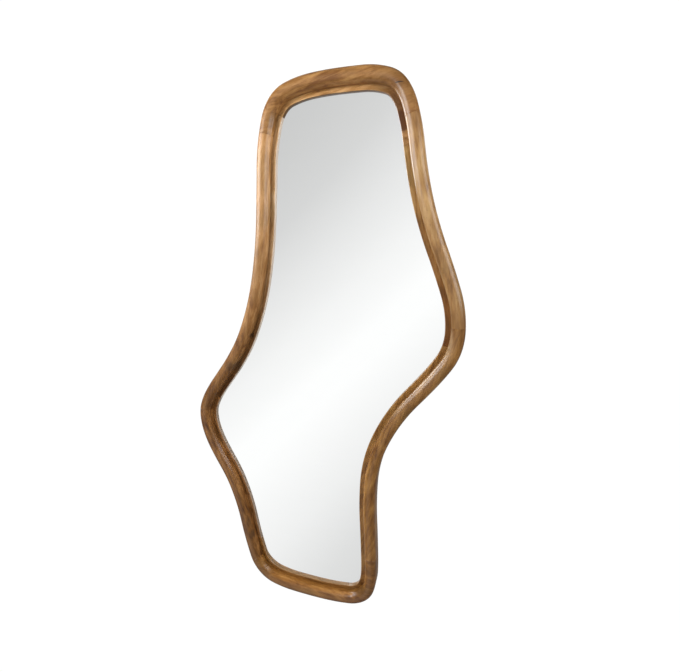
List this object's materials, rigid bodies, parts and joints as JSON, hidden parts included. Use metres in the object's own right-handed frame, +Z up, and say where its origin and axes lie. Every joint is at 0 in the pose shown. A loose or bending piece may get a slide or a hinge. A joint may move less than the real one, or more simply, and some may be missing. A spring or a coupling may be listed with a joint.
{
  "type": "wall mirror",
  "caption": "Tall wall mirror in a wavy, asymmetric hardwood frame with a half-round bead, a valley and a rising inner lip, on ring hangers.",
  "frame": {"origin": "on the wall plane, behind the middle of the frame's width and height", "axes": "+Z up, +X to the right seen from the front, +Y into the wall; the mirror faces -Y"},
  "size_m": [0.626, 0.045, 1.2],
  "materials": {
    "frame_wood": "satin lacquer",
    "dowel_wood": "bare beech",
    "mirror": "silvered float glass",
    "board": "brown fibreboard",
    "steel": "zinc plated",
    "foam": "closed-cell foam tape",
    "rubber": "matt"
  },
  "bodies": {
    "mirror": {"top_rail": "frame_wood", "upper_right_stile": "frame_wood", "lower_right_stile": "frame_wood", "bottom_rail": "frame_wood", "lower_left_stile": "frame_wood", "upper_left_stile": "frame_wood", "lap_dowels": "dowel_wood", "mirror_glass": "mirror", "glazing_tape": "foam", "backing_board": "board", "board_screws": "steel", "left_hanger_strap": "steel", "right_hanger_strap": "steel", "hanger_screws": "steel", "wall_bumpers": "rubber"},
    "left_ring": {"left_hanger_ring": "steel"},
    "right_ring": {"right_hanger_ring": "steel"}
  },
  "joints": [
    {"name": "left_ring_swing", "type": "hinge", "parent": "mirror", "child": "left_ring", "pos_m": [-0.11602, -0.0029, 0.408], "axis": [1, 0, 0], "range_deg": [0, 180]},
    {"name": "right_ring_swing", "type": "hinge", "parent": "mirror", "child": "right_ring", "pos_m": [0.21616, -0.0029, 0.408], "axis": [1, 0, 0], "range_deg": [0, 180]}
  ]
}
